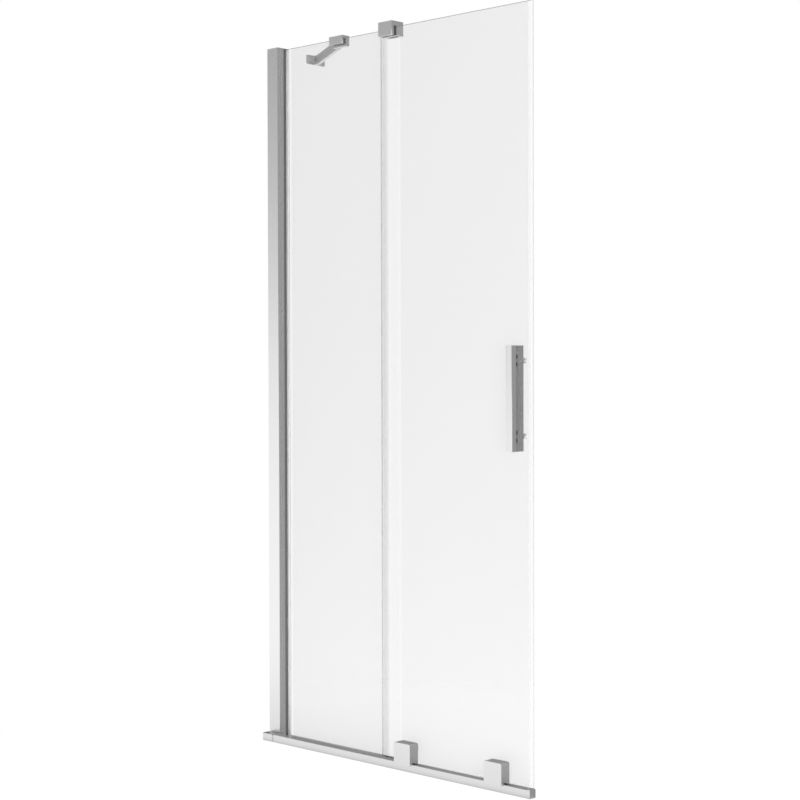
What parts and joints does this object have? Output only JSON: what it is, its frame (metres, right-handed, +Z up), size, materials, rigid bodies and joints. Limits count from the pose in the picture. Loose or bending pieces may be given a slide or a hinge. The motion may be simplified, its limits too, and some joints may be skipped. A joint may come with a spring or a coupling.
{
  "type": "sliding shower screen",
  "caption": "Frameless sliding shower screen: fixed satin glass pane in a wall profile, and a glass door on roller carriages along a low rail, with a guide bracket, handle and wall brace.",
  "frame": {"origin": "at the wall and at tray level, on the front face of the fixed pane", "axes": "+X from the wall along the screen, +Y into the shower, +Z up"},
  "size_m": [1, 0.2639, 2.015],
  "materials": {
    "anodised": "satin anodised silver",
    "satin_glass": "satin etched",
    "dark_rubber": "matt",
    "clear_seal": "clear flexible PVC",
    "steel": "stainless",
    "dark_plastic": "moulded",
    "roller_nylon": "moulded nylon"
  },
  "bodies": {
    "root": {"wall_channel": "anodised", "wall_profile": "anodised", "profile_cap": "anodised", "profile_screws": "steel", "fixed_glass": "satin_glass", "front_gasket": "dark_rubber", "rear_gasket": "clear_seal", "sill_channel": "anodised", "sill_gasket": "dark_rubber", "fixed_edge_strip": "clear_seal", "rail": "anodised", "rail_wall_end": "anodised", "rail_end_cap": "anodised", "rail_end_screws": "anodised", "bracket_body": "anodised", "bracket_front_plate": "anodised", "bracket_liner": "dark_plastic", "bracket_pads": "dark_rubber", "bracket_screws": "steel", "bracket_grub_screws": "steel", "brace_clamp": "anodised", "brace_clamp_pads": "dark_rubber", "brace_clamp_screw": "steel", "brace_arm": "anodised", "brace_foot": "anodised", "brace_pins": "steel"},
    "door": {"door_glass": "satin_glass", "door_edge_seal": "clear_seal", "door_closing_strip": "clear_seal", "door_sweep": "clear_seal", "carriage_1_cover": "anodised", "carriage_1_frame": "steel", "carriage_2_cover": "anodised", "carriage_2_frame": "steel", "carriage_axles": "steel", "carriage_spacers": "dark_plastic", "carriage_cover_screws": "steel", "carriage_bosses": "anodised", "carriage_gaskets": "clear_seal", "carriage_bushes": "clear_seal", "carriage_bolts": "steel", "carriage_nuts": "steel", "carriage_discs": "anodised", "handle_grip": "anodised", "handle_web": "anodised", "handle_gasket": "dark_rubber", "handle_cross_screws": "dark_plastic", "handle_studs": "steel", "handle_bushes": "clear_seal", "handle_rear_caps": "clear_seal"},
    "roller_1": {"roller_1_tyre": "roller_nylon", "roller_1_bearing": "steel"},
    "roller_2": {"roller_2_tyre": "roller_nylon", "roller_2_bearing": "steel"},
    "roller_3": {"roller_3_tyre": "roller_nylon", "roller_3_bearing": "steel"},
    "roller_4": {"roller_4_tyre": "roller_nylon", "roller_4_bearing": "steel"}
  },
  "joints": [
    {"name": "door_slide", "type": "slide", "parent": "root", "child": "door", "axis": [-1, 0, 0], "range_m": [0, 0.4]},
    {"name": "roller_1_spin", "type": "hinge", "parent": "door", "child": "roller_1", "pos_m": [0.5515, -0.0465, 0.0326], "axis": [0, 1, 0], "continuous": true},
    {"name": "roller_2_spin", "type": "hinge", "parent": "door", "child": "roller_2", "pos_m": [0.5805, -0.0465, 0.0326], "axis": [0, 1, 0], "continuous": true},
    {"name": "roller_3_spin", "type": "hinge", "parent": "door", "child": "roller_3", "pos_m": [0.8701, -0.0465, 0.0326], "axis": [0, 1, 0], "continuous": true},
    {"name": "roller_4_spin", "type": "hinge", "parent": "door", "child": "roller_4", "pos_m": [0.8991, -0.0465, 0.0326], "axis": [0, 1, 0], "continuous": true}
  ],
  "couplings": [
    {"joint": "roller_1_spin", "follows": "door_slide", "rad_per_m": -83.333},
    {"joint": "roller_2_spin", "follows": "door_slide", "rad_per_m": -83.333},
    {"joint": "roller_3_spin", "follows": "door_slide", "rad_per_m": -83.333},
    {"joint": "roller_4_spin", "follows": "door_slide", "rad_per_m": -83.333}
  ]
}
